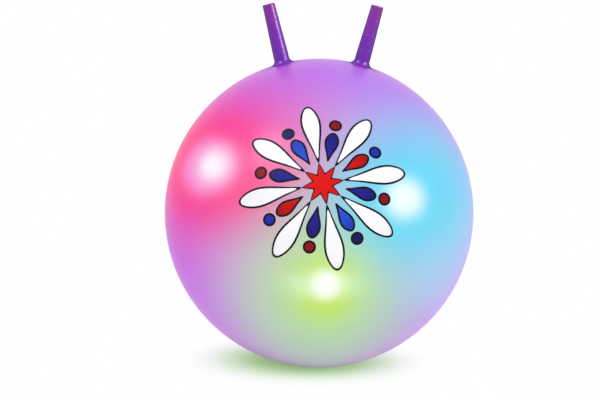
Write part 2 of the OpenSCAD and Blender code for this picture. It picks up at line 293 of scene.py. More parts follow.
class Wiring:
    """The nodes of a material or of the world, with short calls that add and join them."""

    # Places of the colours among the sockets of a Mix node.
    FIRST_COLOUR = 6
    SECOND_COLOUR = 7
    MIXED_COLOUR = 2

    # Vector operations whose result is a number.
    MEASURES = ("DOT_PRODUCT", "LENGTH", "DISTANCE")

    def __init__(self, owner: Material | bpy.types.World) -> None:
        """Starts with the nodes that a new material or world has."""
        owner.use_nodes = True
        self.tree = owner.node_tree

    def put(self, socket: Socket, value: object) -> None:
        """Joins a socket to another, or sets it to a constant.

        Args:
            socket: The input.
            value: An output socket, a number or a tuple.
        """
        if isinstance(value, Socket):
            self.tree.links.new(value, socket)
        elif isinstance(value, tuple) and len(value) == 3 and socket.type == "RGBA":
            socket.default_value = (*value, 1.0)
        else:
            socket.default_value = value

    def node(self, kind: str, *values: object, **settings: object) -> bpy.types.Node:
        """Adds a node.

        Args:
            kind: The node's type, without the words that all shader nodes share.
            values: Its first inputs in order, as numbers, tuples or sockets.
            settings: Its settings by name.

        Returns:
            The node.
        """
        node = self.tree.nodes.new(f"ShaderNode{kind}")
        for name, setting in settings.items():
            setattr(node, name, setting)
        for socket, value in zip(node.inputs, values):
            self.put(socket, value)
        return node

    def math(self, operation: str, *values: object) -> Socket:
        """Adds a Math node to numbers or sockets, and gives its result."""
        return self.node("Math", *values, operation=operation).outputs["Value"]

    def vector(self, operation: str, *values: object, scale: object = None) -> Socket:
        """Adds a Vector Math node.

        Args:
            operation: The node's operation.
            values: Its vectors, as tuples or sockets.
            scale: The scale, for the operation that has one.

        Returns:
            The vector, or the number for an operation that measures.
        """
        node = self.node("VectorMath", *values, operation=operation)
        if scale is not None:
            self.put(node.inputs["Scale"], scale)
        return node.outputs["Value" if operation in self.MEASURES else "Vector"]

    def mix(self, share: object, first: object, second: object) -> Socket:
        """Mixes two colours.

        Args:
            share: The share of the second.
            first: The first colour.
            second: The second colour.

        Returns:
            The mixed colour.
        """
        node = self.node("Mix", share, data_type="RGBA")
        self.put(node.inputs[self.FIRST_COLOUR], first)
        self.put(node.inputs[self.SECOND_COLOUR], second)
        return node.outputs[self.MIXED_COLOUR]

    def span(self, value: Socket, low: float, high: float, start: float = 0.0, end: float = 1.0) -> Socket:
        """Maps a number smoothly from the span of low to high to that of start to end."""
        parts = (value, low, high, start, end)
        return self.node("MapRange", *parts, interpolation_type="SMOOTHSTEP").outputs["Result"]

    def varied(self, share: Socket, least: float, most: float) -> Socket:
        """Stretches a share of 0 to 1 from the least to the most."""
        return self.math("MULTIPLY_ADD", share, most - least, least)

    def seen(self) -> Socket:
        """Tells the rays that show the white surroundings: camera, glossy and transmission rays.

        Returns:
            1 for such a ray and 0 for others.
        """
        path = self.node("LightPath").outputs
        shiny = self.math("MAXIMUM", path["Is Glossy Ray"], path["Is Transmission Ray"])
        return self.math("MAXIMUM", path["Is Camera Ray"], shiny)


class Paint(Wiring):
    """The nodes of a new material, with calls for its surface."""

    def __init__(self, name: str) -> None:
        """Starts a material with a Principled shader.

        Args:
            name: The material's name.
        """
        self.material = bpy.data.materials.new(name)
        super().__init__(self.material)
        self.shader = self.tree.nodes["Principled BSDF"]
        self.point = self.node("TexCoord").outputs["Object"]

    def set(self, **inputs: object) -> None:
        """Sets inputs of the Principled shader, with spaces in their names as underscores."""
        for name, value in inputs.items():
            self.put(self.shader.inputs[name.replace("_", " ")], value)

    def noise(self, grain: float, detail: float = SOME_LAYERS, point: Socket | None = None) -> Socket:
        """Adds a Noise Texture.

        Args:
            grain: The size of the noise's patches, in metres.
            detail: The finer layers that are added.
            point: The place to read, or None for Object coordinates.

        Returns:
            The noise, about 0 to 1.
        """
        node = self.node("TexNoise", point or self.point)
        node.inputs["Scale"].default_value = 1.0 / grain
        node.inputs["Detail"].default_value = detail
        return node.outputs["Fac"]

    def mottled(self, colour: object, mottle: Mottle) -> Socket:
        """Makes a colour darker and paler in patches."""
        brightness = self.varied(self.noise(mottle.size), mottle.least, mottle.most)
        return self.vector("SCALE", colour, scale=brightness)

    def attribute(self, name: str) -> Socket:
        """Reads a number that the mesh carries at its points."""
        return self.node("Attribute", attribute_name=name).outputs["Fac"]

    def bump(self, height: Socket, relief: Relief) -> None:
        """Adds a bump to the shader.

        Args:
            height: The bump's height, about 0 to 1.
            relief: The depth of a full step, and the share that shows.
        """
        node = self.node("Bump")
        node.inputs["Distance"].default_value = relief.depth
        node.inputs["Strength"].default_value = relief.shown
        self.put(node.inputs["Height"], height)
        self.put(self.shader.inputs["Normal"], node.outputs["Normal"])


@dataclass(frozen=True)
class Halo:
    """A patch of light in the skin.

    Its reach is a share of the ball's radius, its aim is the turn and rise, in degrees, from
    its lamp to its middle, and its width is how many times as wide as high it is.
    """

    lamp: Lamp
    colour: Colour
    weight: float
    reach: float
    power: float
    aim: tuple[float, float]
    width: float

    def direction(self) -> Array:
        """Finds the direction from the ball's middle to the patch's middle.

        Returns:
            The direction as a unit vector.
        """
        x, y, z = lamp_direction(self.lamp)
        turn, rise = np.radians(self.aim)
        return heading(math.atan2(x, -y) + turn, math.asin(z) + rise)


@dataclass(frozen=True)
class SkinLight:
    """The colour of the lit skin: a blend of the vinyl's own colour and the lamps' halos."""

    vinyl: Colour = (0.54, 0.08, 0.95)
    rise: Colour = (-0.17, 0.03, -0.07)
    back: Colour = (0.50, 0.13, 0.74)
    back_span: Span = (-0.45, 0.30)
    halos: tuple[Halo, ...] = (
        Halo(Lamp.RED, WHITE, 930.0, 0.17, 6.0, (-0.5, -1.0), 1.5),
        Halo(Lamp.RED, (0.88, 0.29, 0.70), 250.0, 0.45, 12.0, (-3.5, -1.5), 1.6),
        Halo(Lamp.RED, (1.0, 0.0, 0.13), 18.0, 0.56, 2.3, (-5.0, -1.0), 2.1),
        Halo(Lamp.BLUE, WHITE, 65.0, 0.32, 12.0, (0.5, -0.5), 1.25),
        Halo(Lamp.BLUE, (0.0, 0.68, 0.87), 13.0, 0.80, 4.0, (5.0, -1.5), 1.6),
        Halo(Lamp.BLUE, (0.39, 0.71, 0.86), 4.3, 1.07, 12.0, (19.0, -11.0), 0.7),
        Halo(Lamp.GREEN, WHITE, 500.0, 0.16, 12.0, (0.0, 0.5), 0.9),
        Halo(Lamp.GREEN, (0.80, 1.0, 0.93), 28.0, 0.43, 12.0, (-0.5, 0.5), 1.9),
        Halo(Lamp.GREEN, (0.52, 0.76, 0.0), 60.0, 0.10, 1.5, (0.0, -1.0), 0.8),
        Halo(Lamp.GREEN, (0.37, 0.81, 0.40), 3.8, 1.20, 8.0, (-0.5, -10.5), 0.75),
    )

    def wire(self, wiring: Paint) -> tuple[Socket, Socket]:
        """Adds the nodes that work out the colour.

        With d the distance from a halo's middle over the ball's radius, in which a height
        counts by the halo's width, the halo weighs a * (1 + d^2 / r^2)^-n. The colour is
        the mean of the vinyl, of weight 1, and the halos. The vinyl changes with height in
        front, and to one even colour at the back.

        Args:
            wiring: The material's nodes.

        Returns:
            The colour, and the share of it that the lamps give.
        """
        local = wiring.vector("SUBTRACT", wiring.point, tuple(BALL_CENTRE))
        local = wiring.vector("SCALE", local, scale=1.0 / BALL_RADIUS)
        height = wiring.vector("DOT_PRODUCT", local, tuple(UP))
        depth = wiring.vector("DOT_PRODUCT", local, tuple(-FRONT))
        front = wiring.vector("ADD", wiring.vector("SCALE", self.rise, scale=height), self.vinyl)
        total = wiring.mix(wiring.span(depth, *self.back_span), front, self.back)
        weight: object = 0.0
        for halo in self.halos:
            away = wiring.vector("SUBTRACT", local, tuple(halo.direction()))
            away = wiring.vector("MULTIPLY", away, (1.0, 1.0, halo.width))
            square = wiring.vector("DOT_PRODUCT", away, away)
            fall = wiring.math("MULTIPLY_ADD", square, halo.reach**-2, 1.0)
            share = wiring.math("MULTIPLY", wiring.math("POWER", fall, -halo.power), halo.weight)
            total = wiring.vector("ADD", total, wiring.vector("SCALE", halo.colour, scale=share))
            weight = wiring.math("ADD", share, weight)
        whole = wiring.math("ADD", weight, 1.0)
        colour = wiring.vector("SCALE", total, scale=wiring.math("DIVIDE", 1.0, whole))
        return colour, wiring.math("DIVIDE", weight, whole)


@dataclass(frozen=True)
class VinylColours:
    """Colours of the purple vinyl where it is thick, at the horns and round their feet, and of the horns'
    painted reflection beyond.
    """

    deep: Colour = (0.118, 0.008, 0.340)
    foot: Colour = (0.230, 0.030, 0.500)
    tip: Colour = (0.175, 0.010, 0.262)
    neck: float = 11.0 * MM
    flare: float = 8.0 * MM
    inner_foot: float = 14.0 * MM
    # Deeper purple reaches out to outer_foot: thick vinyl next to the horn, and further out a painted
    # reflection of the horn in the skin.
    outer_foot: float = 40.0 * MM
    ragged: float = 6.0 * MM
    ragged_size: float = 5.0 * MM

    def thick_vinyl_and_reflection_share(self, wiring: Paint, spread: Socket) -> Socket:
        """Tells how thick the vinyl is, with the horn's painted reflection further out, from a ragged
        distance to a horn's axis.

        Args:
            wiring: The material's nodes.
            spread: Distance from the horn's axis.

        Returns:
            1 for thick vinyl near a horn, falling to 0 for the thin skin across a band that paints the
            horn's reflection.
        """
        noise = wiring.math("SUBTRACT", wiring.noise(self.ragged_size, MANY_LAYERS), 0.5)
        ragged = wiring.math("MULTIPLY_ADD", noise, self.ragged, spread)
        return wiring.span(ragged, self.inner_foot, self.outer_foot, 1.0, 0.0)


@dataclass(frozen=True)
class GlowingVinyl:
    """Satin vinyl lit from inside, with a faint cloudiness, a fine grain and deeper horn feet, partly a
    painted reflection of the horns.
    """

    light: SkinLight = SkinLight()
    thick: VinylColours = VinylColours()
    own_glow: float = 0.10
    lamp_glow: float = 0.50
    lamp_shade: float = 0.50
    cloud: Mottle = Mottle(60 * MM, 0.975, 1.025)
    gloss: float = 0.22
    roughness: Span = (0.29, 0.39)
    grain: Relief = Relief(1.6 * MM, 0.04 * MM, 0.5)

    def wire(self, wiring: Paint, share: Socket, deep: object) -> None:
        """Adds the lit, slightly cloudy colour and its glow, with the thick vinyl's colour, and the horns'
        painted reflection in it, over them.

        Args:
            wiring: The material's nodes.
            share: The share of the thick vinyl and of the horns' painted reflection.
            deep: The thick vinyl's colour, which the painted reflection takes too.
        """
        colour, lit = self.light.wire(wiring)
        colour = wiring.mottled(colour, self.cloud)
        glow = wiring.math("MULTIPLY_ADD", lit, self.lamp_glow, self.own_glow)
        glow = wiring.math("MULTIPLY", glow, wiring.math("SUBTRACT", 1.0, share))
        shade = wiring.math("MULTIPLY_ADD", lit, -self.lamp_shade, 1.0 - self.own_glow / 2)
        skin = wiring.vector("SCALE", colour, scale=shade)
        wiring.set(Base_Color=wiring.mix(share, skin, deep), Emission_Color=colour, Emission_Strength=glow)

    def material(self) -> Material:
        """Builds the material.

        Returns:
            The material.
        """
        wiring = Paint("glowing vinyl")
        feet = [tuple(BALL_CENTRE + BALL_RADIUS * horn_axis(side)) for side in Side]
        spread = wiring.math("MINIMUM", *[wiring.vector("DISTANCE", wiring.point, foot) for foot in feet])
        # Deeper purple round each horn foot: thick vinyl near the horn, and further out a painted
        # reflection of the horn.
        self.wire(wiring, self.thick.thick_vinyl_and_reflection_share(wiring, spread), self.thick.foot)
        grain = wiring.noise(self.grain.size, FEW_LAYERS)
        wiring.set(Specular_IOR_Level=self.gloss, Roughness=wiring.varied(grain, *self.roughness))
        wiring.bump(grain, self.grain)
        return wiring.material


@dataclass(frozen=True)
class HornVinyl:
    """Glossy deep purple vinyl, redder towards the tip, that fades into the skin at its foot."""

    skin: GlowingVinyl = GlowingVinyl()
    thick: VinylColours = VinylColours()
    tip_fade: Span = (30 * MM, 100 * MM)
    tip_ragged: float = 20 * MM
    ragged_size: float = 7 * MM
    mottle: Mottle = Mottle(3 * MM, 0.85, 1.15)
    gloss: float = 0.70
    gloss_fade: Span = (0.30, 0.70)
    tint: Colour = (0.92, 0.55, 1.0)
    roughness: float = 0.34
    grain: Relief = Relief(1.2 * MM, 0.01 * MM, 0.3)

    def material(self) -> Material:
        """Builds the material, whose gloss fades where the vinyl turns away from the viewer.

        Returns:
            The material.
        """
        wiring = Paint("horn vinyl")
        ragged = wiring.noise(self.ragged_size, MANY_LAYERS)
        height = wiring.math("MULTIPLY_ADD", ragged, self.tip_ragged, wiring.attribute("height"))
        colour = wiring.mix(wiring.span(height, *self.tip_fade), self.thick.deep, self.thick.tip)
        colour = wiring.mottled(colour, self.mottle)
        turned_away = wiring.node("LayerWeight").outputs["Facing"]
        gloss = wiring.span(turned_away, *self.gloss_fade, self.gloss, 0.0)
        spread = wiring.attribute("spread")
        flare = wiring.span(spread, self.thick.neck, self.thick.neck + self.thick.flare)
        colour = wiring.mix(flare, colour, self.thick.foot)
        # The same share as on the skin: thick vinyl, and further out the horns' painted reflection.
        share = self.thick.thick_vinyl_and_reflection_share(wiring, spread)
        self.skin.wire(wiring, share, colour)
        change = wiring.math("MULTIPLY", wiring.math("SUBTRACT", gloss, self.skin.gloss), share)
        wiring.set(Specular_IOR_Level=wiring.math("ADD", change, self.skin.gloss))
        wiring.set(Roughness=self.roughness, Specular_Tint=self.tint)
        wiring.bump(wiring.noise(self.grain.size, FEW_LAYERS), self.grain)
        return wiring.material


@dataclass(frozen=True)
class PrintInk:
    """Screen-printed ink, darker away from the middle of the print and a little uneven."""

    ink: Ink
    near: Colour
    far: Colour
    glow: float
    fade: Span = (20 * MM, 100 * MM)
    uneven: Mottle = Mottle(0.9 * MM, 0.95, 1.05)
    gloss: float = 0.12
    roughness: float = 0.45
    grain: Relief = Relief(0.7 * MM, 0.02 * MM, 0.4)

    def material(self, middle: Point) -> Material:
        """Builds the material.

        Args:
            middle: The middle of the print.

        Returns:
            The material.
        """
        wiring = Paint(f"{self.ink.value} ink")
        away = wiring.vector("DISTANCE", wiring.point, middle)
        colour = wiring.mix(wiring.span(away, *self.fade), self.near, self.far)
        colour = wiring.mottled(colour, self.uneven)
        wiring.set(Base_Color=colour, Roughness=self.roughness, Specular_IOR_Level=self.gloss)
        if self.glow:
            wiring.set(Emission_Color=colour, Emission_Strength=self.glow)
        wiring.bump(wiring.noise(self.grain.size, FEW_LAYERS), self.grain)
        return wiring.material


@dataclass(frozen=True)
class MouldedPlastic:
    """Moulded plastic or vinyl with a fine grain and a slight change of colour."""

    name: str
    colour: Colour
    roughness: float
    clear: float = 0.0
    glow: float = 0.0
    mottle: Mottle = Mottle(9 * MM, 0.92, 1.08)
    grain: Relief = Relief(0.8 * MM, 0.03 * MM, 0.5)
    uneven: float = 0.06

    def material(self) -> Material:
        """Builds the material.

        Returns:
            The material.
        """
        wiring = Paint(self.name)
        colour = wiring.mottled(self.colour, self.mottle)
        grain = wiring.noise(self.grain.size, FEW_LAYERS)
        rough = wiring.varied(grain, self.roughness - self.uneven, self.roughness + self.uneven)
        wiring.set(Base_Color=colour, Transmission_Weight=self.clear, Roughness=rough)
        if self.glow:
            wiring.set(Emission_Color=colour, Emission_Strength=self.glow)
        wiring.bump(grain, self.grain)
        return wiring.material


@dataclass(frozen=True)
class DrawnMetal:
    """Metal with fine lines from drawing or rolling, and a slight tarnish."""

    name: str
    colour: Colour
    roughness: float
    tarnish: Mottle = Mottle(4 * MM, 0.80, 1.10)
    lines: Relief = Relief(1.0 * MM, 0.01 * MM, 0.4)
    squeeze: float = 12.0
    smoother: float = 0.10
    rougher: float = 0.14

    def material(self) -> Material:
        """Builds the material, with the lines as a noise squeezed along the height.

        Returns:
            The material.
        """
        wiring = Paint(self.name)
        squeezed = wiring.vector("MULTIPLY", wiring.point, (1.0, 1.0, self.squeeze))
        lines = wiring.noise(self.lines.size, FEW_LAYERS, squeezed)
        colour = wiring.mottled(self.colour, self.tarnish)
        rough = wiring.varied(lines, self.roughness - self.smoother, self.roughness + self.rougher)
        wiring.set(Base_Color=colour, Metallic=1.0, Roughness=rough)
        wiring.bump(lines, self.lines)
        return wiring.material


@dataclass(frozen=True)
class SolderMask:
    """A green circuit board with paler copper tracks under its lacquer."""

    mask: Colour = (0.02, 0.16, 0.06)
    track: Colour = (0.06, 0.30, 0.12)
    track_edge: Span = (0.55, 0.65)
    tracks: Relief = Relief(1.3 * MM, 0.03 * MM, 0.6)
    plain_wave: float = 0.3
    wander: float = 4.0
    roughness: float = 0.32

    def material(self) -> Material:
        """Builds the material, with the tracks as waves of a Wave Texture, scaled from its plain length.

        Returns:
            The material.
        """
        wiring = Paint("solder mask")
        wave = wiring.node("TexWave", wiring.point)
        wave.inputs["Scale"].default_value = self.plain_wave / self.tracks.size
        wave.inputs["Distortion"].default_value = self.wander
        track = wiring.span(wave.outputs["Fac"], *self.track_edge)
        wiring.set(Base_Color=wiring.mix(track, self.mask, self.track), Roughness=self.roughness)
        wiring.bump(track, self.tracks)
        return wiring.material


@dataclass
class BallSkin:
    """The inflated skin: a hollow ball with a round hole for the valve seat and a flat on the ground."""

    wall: float = 1.0 * MM
    hole_radius: float = 10.3 * MM
    lip: float = 0.3 * MM
    around: int = 288
    outer_rows: int = 200
    lip_rows: int = 5
    inner_rows: int = 60
    finish: GlowingVinyl = GlowingVinyl()

    def profile(self) -> Array:
        """Outline of the wall about the valve's axis.

        Radius and height are r = R sin t and h = R cos t, with t from the far pole to the
        hole on the outside and back again on the inside, and a rounded lip between.

        Returns:
            Radii and heights, one pair a row.
        """
        outer = np.linspace(math.pi, math.asin(self.hole_radius / BALL_RADIUS), self.outer_rows)
        inner = np.linspace(outer[-1], math.pi, self.inner_rows)
        turn = np.linspace(0.0, math.pi, self.lip_rows + 2)[1:-1]
        inner_radius = BALL_RADIUS - self.wall
        top = BALL_RADIUS * math.cos(outer[-1])
        low = inner_radius * math.cos(outer[-1])
        rim = pairs(
            self.hole_radius - self.lip * (1.0 - np.abs(np.cos(turn))),
            low + (top - low) * (1.0 + np.cos(turn)) / 2,
        )
        outside = BALL_RADIUS * pairs(np.sin(outer), np.cos(outer))
        inside = inner_radius * pairs(np.sin(inner), np.cos(inner))
        return np.concatenate([outside, rim, inside])

    def build(self) -> Object:
        """Builds the ball about the valve's axis, pressed flat on the ground.

        Returns:
            The ball.
        """
        axis = unit(np.array(joint("valve_plug_pull")["axis"]))
        rows = turned(self.profile(), axis, UP, self.around)
        outside = self.outer_rows + self.lip_rows
        rows[:outside] = pressed(rows[:outside])
        rows[outside:] = pressed(rows[outside:] - self.wall * UP) + self.wall * UP
        ball = make_piece("glowing_skin", [Grid(rows)])
        ball.data.materials.append(self.finish.material())
        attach(ball, "ball")
        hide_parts("ball_skin")
        return ball


@dataclass
class Horn:
    """A horn and its root in one skin; the real horn bends over the root, which this piece does not."""

    side: Side
    height: float = 87.5 * MM
    neck_radius: float = 10.95 * MM
    tip_radius: float = 8.8 * MM
    root_height: float = 14.0 * MM
    fillet: float = 8.0 * MM
    foot_rise: float = 0.05 * MM
    edge_out: float = 1.2 * MM
    edge_drop: float = 0.5 * MM
    floor_share: float = 0.8
    floor_edge_depth: float = 1.6 * MM
    floor_depth: float = 1.5 * MM
    tip_round: float = 1.2 * MM
    tip_rim: float = 2.6 * MM
    tip_dish: float = 0.8 * MM
    ring_count: int = 3
    ring_pitch: float = 22.0 * MM
    ring_width: float = 3.0 * MM
    ring_rise: float = 0.2 * MM
    around: int = 72
    fillet_rows: int = 22
    body_rows: int = 150
    round_rows: int = 8
    dish_rows: int = 7

    def body_radius(self, height: Array) -> Array:
        """Radius of the straight part: a taper with swollen grip rings.

        Each ring adds rise * (1 + cos(2 pi d / width)) / 2, with d the distance from it.

        Args:
            height: Heights above the skin.

        Returns:
            The radii.
        """
        share = (height - self.root_height) / (self.height - self.root_height)
        radius = self.neck_radius + (self.tip_radius - self.neck_radius) * np.clip(share, 0.0, 1.0)
        for ring in range(1, self.ring_count + 1):
            away = np.clip((height - self.height + ring * self.ring_pitch) / self.ring_width, -0.5, 0.5)
            radius = radius + self.ring_rise * (1.0 + np.cos(math.tau * away)) / 2
        return radius

    def profile(self) -> Array:
        """Outline from the hidden floor under the skin, over the fillet and rings, to the dished tip.

        The fillet is an arc that touches the neck and a ball just larger than the skin's.

        Returns:
            Radii and heights, one pair a row.
        """
        centre_r = self.neck_radius + self.fillet
        reach = BALL_RADIUS + self.foot_rise + self.fillet
        centre_h = math.sqrt(reach**2 - centre_r**2)
        turn = np.linspace(math.pi + math.atan2(centre_h, centre_r), math.pi, self.fillet_rows)
        fillet = pairs(centre_r + self.fillet * np.cos(turn), centre_h + self.fillet * np.sin(turn))
        foot_r, foot_h = fillet[0]
        floor = [
            (0.0, BALL_RADIUS - self.floor_depth),
            (foot_r * self.floor_share, BALL_RADIUS - self.floor_edge_depth),
            (foot_r + self.edge_out, foot_h - self.edge_drop),
        ]
        height = np.linspace(centre_h - BALL_RADIUS, self.height - self.tip_round, self.body_rows)[1:]
        straight = pairs(self.body_radius(height), BALL_RADIUS + height)
        top = BALL_RADIUS + self.height
        bend = np.linspace(0.0, math.pi / 2, self.round_rows)[1:]
        rim = pairs(
            self.tip_radius - self.tip_round * (1.0 - np.cos(bend)),
            top - self.tip_round * (1.0 - np.sin(bend)),
        )
        fall = np.linspace(0.0, 1.0, self.dish_rows)
        dish = pairs(
            self.tip_radius - self.tip_rim - self.tip_dish * fall,
            top - self.tip_dish * smooth_step(fall),
        )
        dish_r, dish_h = dish[-1]
        middle = [(dish_r / 2, dish_h), (0.0, dish_h)]
        return np.concatenate([floor, fillet, straight, rim, dish, middle])

    def build(self) -> Object:
        """Builds the horn.

        Returns:
            The horn.
        """
        axis = horn_axis(self.side)
        rows = turned(self.profile(), axis, FRONT, self.around)
        horn = make_piece(f"{self.side.value}_grip_horn", [Grid(rows)])
        points = np.empty(len(horn.data.vertices) * 3, dtype=np.float32)
        horn.data.vertices.foreach_get("co", points)
        away = points.reshape(-1, 3) - BALL_CENTRE
        along = away @ axis
        carried = {
            "height": along - BALL_RADIUS,
            "spread": np.linalg.norm(away - along[:, None] * axis, axis=1),
        }
        for name, values in carried.items():
            attribute = horn.data.attributes.new(name, "FLOAT", "POINT")
            attribute.data.foreach_set("value", values.astype(np.float32))
        horn.data.materials.append(bpy.data.materials.get("horn vinyl") or HornVinyl().material())
        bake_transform(horn)
        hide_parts(f"{self.side.value}_horn_root", f"{self.side.value}_horn")
        return horn


@dataclass(frozen=True)
class RaySize:
    """The ends of a ray, as distances from the middle of the print, and half its width."""

    inner: float
    outer: float
    half: float


@dataclass
class BurstPrint:
    """The print on the front: a burst of tapered rays and dots, in layers of ink."""

    turn: float = math.radians(1.2)
    rise: float = math.radians(20.0)
    rays: int = 8
    tilt: float = math.radians(11.25)
    long_ray: RaySize = RaySize(36 * MM, 117 * MM, 12.5 * MM)
    short_ray: RaySize = RaySize(38 * MM, 72 * MM, 8.0 * MM)
    slimmest: float = 0.30
    taper_reach: float = 1.6
    tail_growth: float = 2.2
    dot_far: float = 87 * MM
    dot_radius: float = 6.0 * MM
    star_radius: float = 26 * MM
    star_waist: float = 12.0 * MM
    star_curve: float = 1.6
    outline: float = 3.2 * MM
    sunk: float = -0.15 * MM
    layer: float = 0.12 * MM
    ray_points: int = 96
    dot_points: int = 48
    star_points: int = 32
    under_rows: int = 4
    top_rows: int = 12
    ray_inks: tuple[Ink, ...] = (Ink.RED, Ink.NAVY, Ink.BLUE, Ink.NAVY)
    dot_inks: tuple[Ink, ...] = (Ink.BLUE, Ink.RED, Ink.NAVY, Ink.RED)
    inks: tuple[PrintInk, ...] = (
        PrintInk(Ink.BLACK, (0.006, 0.004, 0.010), (0.006, 0.004, 0.012), 0.0),
        PrintInk(Ink.WHITE, (0.82, 0.82, 0.83), (0.80, 0.79, 0.82), 0.06),
        PrintInk(Ink.RED, (0.62, 0.006, 0.006), (0.20, 0.004, 0.006), 0.03),
        PrintInk(Ink.NAVY, (0.020, 0.016, 0.300), (0.006, 0.006, 0.080), 0.02),
        PrintInk(Ink.BLUE, (0.020, 0.090, 0.620), (0.012, 0.020, 0.330), 0.03),
    )

    def direction(self) -> Array:
        """Direction from the ball's middle to the middle of the print."""
        return heading(self.turn, self.rise)

    def laid(self, flat: Array) -> Array:
        """Lays flat shapes on the ball.

        A point at distance d from the print's middle goes to the angle d / R from the
        print's direction, the same way, at its own height above the skin.

        Args:
            flat: Points with x to the right, y up and the height above the skin.

        Returns:
            The points on the ball.
        """
        normal = self.direction()
        right, up = square_to(normal, UP)
        distance = np.hypot(flat[..., 0], flat[..., 1])
        share = np.sinc(distance / BALL_RADIUS / math.pi)[..., None] / BALL_RADIUS
        way = flat[..., 0:1] * right + flat[..., 1:2] * up
        pointing = np.cos(distance / BALL_RADIUS)[..., None] * normal + share * way
        return BALL_CENTRE + (BALL_RADIUS + flat[..., 2:3]) * pointing

    def plate(self, outline: Array, middle: Array, top: float) -> Grid:
        """A thin closed plate of ink inside an outline.

        Each row is the outline drawn in towards the middle: from the middle of the
        underside out to the edge, up, and back to the middle of the top.

        Args:
            outline: Points round the edge, x and y, the way the clock doesn't turn.
            middle: The point that the rows shrink to.
            top: Height of the ink above the skin.

        Returns:
            The plate.
        """
        out = np.linspace(0.0, 1.0, self.under_rows)
        back = np.linspace(1.0, 0.0, self.top_rows)
        share = np.concatenate([out, back])
        height = np.repeat([self.sunk, top], [self.under_rows, self.top_rows])
        rows = middle + share[:, None, None] * (outline - middle)
        level = np.broadcast_to(height[:, None, None], (*rows.shape[:2], 1))
        return Grid(self.laid(np.concatenate([rows, level], axis=-1)))

    def ray(self, angle: float, size: RaySize, grow: float, top: float) -> Grid:
        """One tapered ray: a drop that is widest two thirds of the way out.

        With t once round, the place along the ray goes as the cosine of t and the half
        width as its sine, times a taper that narrows the inner end.

        Args:
            angle: The ray's angle.
            size: Its ends and half width.
            grow: How much its outline is let out.
            top: Height of the ink above the skin.

        Returns:
            The ray.
        """
        inner = size.inner - self.tail_growth * grow
        outer = size.outer + grow
        turn = full_turn(self.ray_points)
        along = (inner + outer) / 2 + (outer - inner) / 2 * np.cos(turn)
        taper = smooth_step((np.cos(turn) + 1.0) / self.taper_reach)
        across = (size.half + grow) * np.sin(turn) * (self.slimmest + (1.0 - self.slimmest) * taper)
        spin = np.array([[math.cos(angle), math.sin(angle)], [-math.sin(angle), math.cos(angle)]])
        middle = np.array([(inner + 2.0 * outer) / 3, 0.0]) @ spin
        return self.plate(pairs(along, across) @ spin, middle, top)

    def dot(self, angle: float, grow: float, top: float) -> Grid:
        """One round dot.

        Args:
            angle: The angle at which it lies.
            grow: How much its outline is let out.
            top: Height of the ink above the skin.

        Returns:
            The dot.
        """
        middle = self.dot_far * np.array([math.cos(angle), math.sin(angle)])
        turn = full_turn(self.dot_points)
        circle = pairs(np.cos(turn), np.sin(turn))
        return self.plate(middle + (self.dot_radius + grow) * circle, middle, top)

    def star(self, grow: float, top: float) -> Grid:
        """The star in the middle, whose edge swings between its points and its waist.

        Args:
            grow: How much its outline is let out.
            top: Height of the ink above the skin.

        Returns:
            The star.
        """
        turn = full_turn(self.star_points * self.rays)
        swing = np.abs(np.mod((turn - self.tilt) * self.rays / math.tau, 1.0) - 0.5) * 2.0
        radius = self.star_waist + (self.star_radius - self.star_waist) * swing**self.star_curve + grow
        edge = radius[:, None] * pairs(np.cos(turn), np.sin(turn))
        return self.plate(edge, np.zeros(2), top)

    def layers(self) -> dict[Ink, list[Grid]]:
        """Draws each shape twice: a black outline below, and its colour over it.

        Returns:
            The plates of each ink.
        """
        step = math.tau / self.rays
        shapes = [(Ink.RED, self.star)]
        for place, ray_ink, dot_ink in zip(range(self.rays), cycle(self.ray_inks), cycle(self.dot_inks)):
            angle = self.tilt + step * place
            between = angle + step / 2
            shapes.append((Ink.WHITE, partial(self.ray, angle, self.long_ray)))
            shapes.append((ray_ink, partial(self.ray, between, self.short_ray)))
            shapes.append((dot_ink, partial(self.dot, between)))
        drawn: dict[Ink, list[Grid]] = {ink: [] for ink in Ink}
        for ink, draw in shapes:
            drawn[Ink.BLACK].append(draw(self.outline, self.layer))
            drawn[ink].append(draw(0.0, 2.0 * self.layer))
        return drawn

    def build(self) -> list[Object]:
        """Builds the layers of ink, one piece for each colour.

        Returns:
            The pieces.
        """
        middle = tuple(BALL_CENTRE + BALL_RADIUS * self.direction())
        layers = self.layers()
        made = []
        for finish in self.inks:
            piece = make_piece(f"print_{finish.ink.value}", layers[finish.ink])
            piece.data.materials.append(finish.material(middle))
            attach(piece, "ball")
            made.append(piece)
        return made


